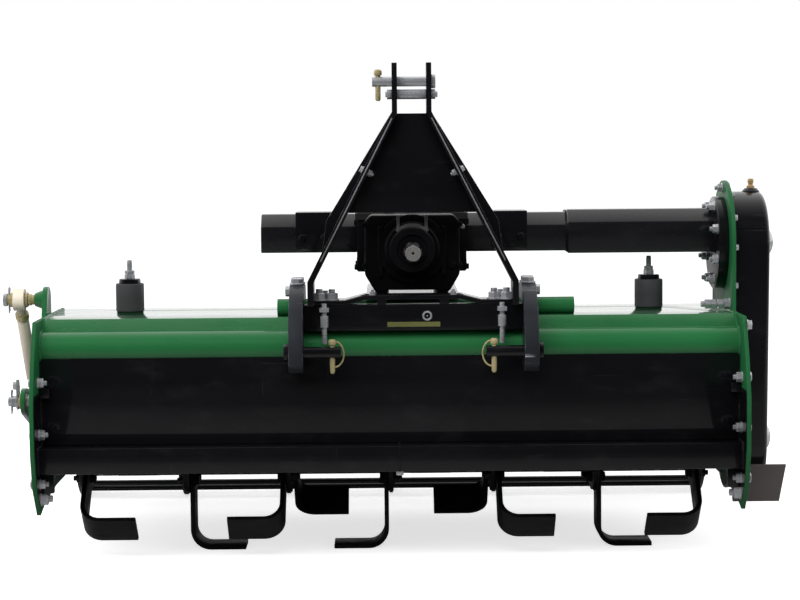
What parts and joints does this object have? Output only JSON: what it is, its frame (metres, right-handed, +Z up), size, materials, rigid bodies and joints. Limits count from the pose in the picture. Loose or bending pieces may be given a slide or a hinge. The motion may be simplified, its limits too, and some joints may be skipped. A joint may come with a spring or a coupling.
{
  "type": "tractor-mounted stone burier with cage roller",
  "caption": "Stone burier for a three-point linkage: bladed rotor under a hood, side chain drive from a central gearbox, sieve comb, levelling board and cage roller.",
  "frame": {"origin": "on the floor, at the middle of the footprint's box", "axes": "+X to the right seen from the tractor's side, +Y backwards, away from the tractor, +Z up"},
  "size_m": [1.589, 1.1104, 0.976],
  "materials": {
    "green_paint": "gloss",
    "black_paint": "gloss",
    "cast_black": "satin paint",
    "zinc": "zinc plated",
    "yellow_zinc": "yellow zinc plated",
    "cream_paint": "satin",
    "rubber": "matt",
    "blade_steel": "satin",
    "dark_steel": "satin"
  },
  "bodies": {
    "frame": {"hood_top": "green_paint", "front_tube": "green_paint", "front_plate": "black_paint", "front_beam": "black_paint", "left_side_plate": "green_paint", "right_side_plate": "green_paint", "sieve_comb": "black_paint", "board_hinge_rod": "zinc", "rubber_buffers": "rubber", "buffer_bolts": "zinc", "gearbox": "cast_black", "cross_beam_left": "black_paint", "cross_beam_middle": "black_paint", "cross_beam_right": "black_paint", "beam_collar_left": "black_paint", "beam_collar_right": "black_paint", "end_flange": "black_paint", "chain_case": "black_paint", "chain_case_caps": "zinc", "chain_case_guard": "dark_steel", "left_bearing": "cast_black", "hitch_clamp_left": "black_paint", "hitch_clamp_right": "black_paint", "slide_pipe": "green_paint", "cross_member": "black_paint", "gearbox_mount": "black_paint", "headstock_left": "black_paint", "headstock_right": "black_paint", "headstock_sheet": "black_paint", "top_link_pin": "zinc", "top_link_spacer": "zinc", "lower_pin_left": "zinc", "lower_pin_right": "zinc", "lock_bolts": "zinc", "arm_hub_left": "black_paint", "arm_hub_right": "black_paint", "strut_lug": "green_paint", "strut_pin": "yellow_zinc"},
    "rotor": {"rotor_drum": "blade_steel", "rotor_discs": "blade_steel", "rotor_blades": "blade_steel"},
    "pto": {"pto_shaft": "zinc"},
    "roller_frame": {"roller_arm_left": "black_paint", "roller_arm_right": "black_paint", "roller_cross_tube": "black_paint", "strut_foot_pin": "zinc"},
    "roller": {"roller_cage": "black_paint", "roller_shaft": "zinc"},
    "strut_upper": {"strut_eye": "yellow_zinc", "strut_sleeve": "cream_paint"},
    "strut_lower": {"strut_rod": "yellow_zinc"},
    "board": {"levelling_board": "black_paint"}
  },
  "joints": [
    {"name": "rotor_spin", "type": "hinge", "parent": "frame", "child": "rotor", "pos_m": [0.0055, -0.22475, 0.218], "axis": [1, 0, 0], "continuous": true},
    {"name": "pto_spin", "type": "hinge", "parent": "frame", "child": "pto", "pos_m": [0.0505, -0.38975, 0.618], "axis": [0, 1, 0], "continuous": true},
    {"name": "roller_lift", "type": "hinge", "parent": "frame", "child": "roller_frame", "pos_m": [0.0055, -0.00975, 0.262], "axis": [1, 0, 0], "range_deg": [-4, 16]},
    {"name": "roller_spin", "type": "hinge", "parent": "roller_frame", "child": "roller", "pos_m": [0.0055, 0.41525, 0.14], "axis": [1, 0, 0], "continuous": true},
    {"name": "strut_swing", "type": "hinge", "parent": "frame", "child": "strut_upper", "pos_m": [-0.7365, -0.28475, 0.517], "axis": [1, 0, 0], "range_deg": [-4.44, 1.34]},
    {"name": "strut_screw", "type": "slide", "parent": "strut_upper", "child": "strut_lower", "axis": [0, 0.5994, -0.8004], "range_m": [-0.00593, 0.0222]},
    {"name": "board_tilt", "type": "hinge", "parent": "frame", "child": "board", "pos_m": [0.0055, 0.05425, 0.364], "axis": [1, 0, 0], "range_deg": [-8, 35]}
  ],
  "couplings": [
    {"joint": "pto_spin", "follows": "rotor_spin", "ratio": 2.45},
    {"joint": "strut_swing", "follows": "roller_lift", "ratio": -0.25897},
    {"joint": "strut_screw", "follows": "roller_lift", "m_per_rad": 0.077713}
  ]
}
